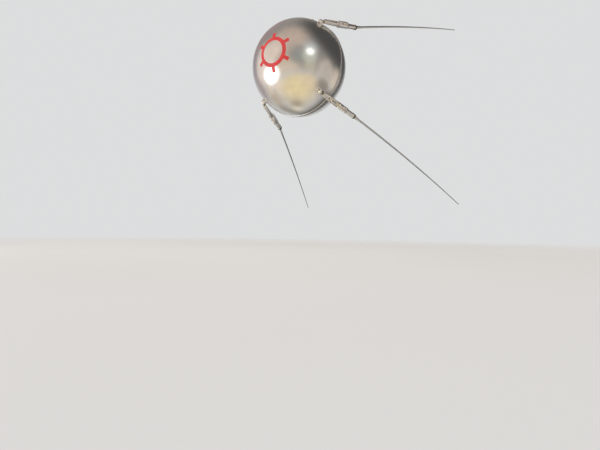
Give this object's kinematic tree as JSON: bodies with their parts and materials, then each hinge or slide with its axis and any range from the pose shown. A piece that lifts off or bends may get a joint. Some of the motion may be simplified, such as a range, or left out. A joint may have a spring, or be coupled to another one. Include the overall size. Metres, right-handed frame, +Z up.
{
  "type": "scale model satellite with hinged whip antennas",
  "caption": "Hanging model of an early satellite: a polished ball in two bolted half shells, with whip antennas hinged on its front half and swept back.",
  "frame": {"origin": "the hanging point, midway between the bores of the two hanging eyes on top of the seam", "axes": "+Z is up as it hangs; the ball's axis runs along Y, with the front pole towards -Y and the whips swept back towards +Y; +X is to the right when looking along +Y"},
  "size_m": [0.7126, 0.8156, 0.7074],
  "materials": {
    "polished_shell": "polished spun aluminium with faint turning lines and a soft haze",
    "seam_metal": "machined aluminium flanges, satin",
    "bright_fitting": "bright polished metal fittings",
    "holder_metal": "satin milled aluminium, edges rubbed bright",
    "dark_bush": "black moulded insulating plastic",
    "whip_metal": "drawn tapered rod, lightly brushed along its length"
  },
  "bodies": {
    "ball": {"front_shell": "polished_shell", "rear_shell": "polished_shell", "front_flange": "seam_metal", "rear_flange": "seam_metal", "hanging_eye_left": "bright_fitting", "hanging_eye_right": "bright_fitting", "hinge_seat_upper_left": "bright_fitting", "hinge_pin_upper_left": "bright_fitting", "hinge_seat_upper_right": "bright_fitting", "hinge_pin_upper_right": "bright_fitting", "hinge_seat_lower_right": "bright_fitting", "hinge_pin_lower_right": "bright_fitting", "hinge_seat_lower_left": "bright_fitting", "hinge_pin_lower_left": "bright_fitting"},
    "antenna_upper_left": {"root_ball_upper_left": "bright_fitting", "root_collar_upper_left": "dark_bush", "arm_channel_upper_left": "holder_metal", "arm_clamp_upper_left": "holder_metal", "holder_tube_upper_left": "holder_metal", "insulator_upper_left": "dark_bush", "ferrule_upper_left": "bright_fitting", "whip_upper_left": "whip_metal"},
    "antenna_upper_right": {"root_ball_upper_right": "bright_fitting", "root_collar_upper_right": "dark_bush", "arm_channel_upper_right": "holder_metal", "arm_clamp_upper_right": "holder_metal", "holder_tube_upper_right": "holder_metal", "insulator_upper_right": "dark_bush", "ferrule_upper_right": "bright_fitting", "whip_upper_right": "whip_metal"},
    "antenna_lower_right": {"root_ball_lower_right": "bright_fitting", "root_collar_lower_right": "dark_bush", "arm_channel_lower_right": "holder_metal", "arm_clamp_lower_right": "holder_metal", "holder_tube_lower_right": "holder_metal", "insulator_lower_right": "dark_bush", "ferrule_lower_right": "bright_fitting", "whip_lower_right": "whip_metal"},
    "antenna_lower_left": {"root_ball_lower_left": "bright_fitting", "root_collar_lower_left": "dark_bush", "arm_channel_lower_left": "holder_metal", "arm_clamp_lower_left": "holder_metal", "holder_tube_lower_left": "holder_metal", "insulator_lower_left": "dark_bush", "ferrule_lower_left": "bright_fitting", "whip_lower_left": "whip_metal"}
  },
  "joints": [
    {"name": "fold_upper_left", "type": "hinge", "parent": "ball", "child": "antenna_upper_left", "pos_m": [-0.10239, -0.05767, -0.04588], "axis": [-0.7071, 0, -0.7071], "range_deg": [0, 8]},
    {"name": "fold_upper_right", "type": "hinge", "parent": "ball", "child": "antenna_upper_right", "pos_m": [0.10239, -0.05767, -0.04588], "axis": [-0.7071, 0, 0.7071], "range_deg": [0, 8]},
    {"name": "fold_lower_right", "type": "hinge", "parent": "ball", "child": "antenna_lower_right", "pos_m": [0.10239, -0.05767, -0.25066], "axis": [0.7071, 0, 0.7071], "range_deg": [0, 8]},
    {"name": "fold_lower_left", "type": "hinge", "parent": "ball", "child": "antenna_lower_left", "pos_m": [-0.10239, -0.05767, -0.25066], "axis": [0.7071, 0, -0.7071], "range_deg": [0, 8]}
  ]
}
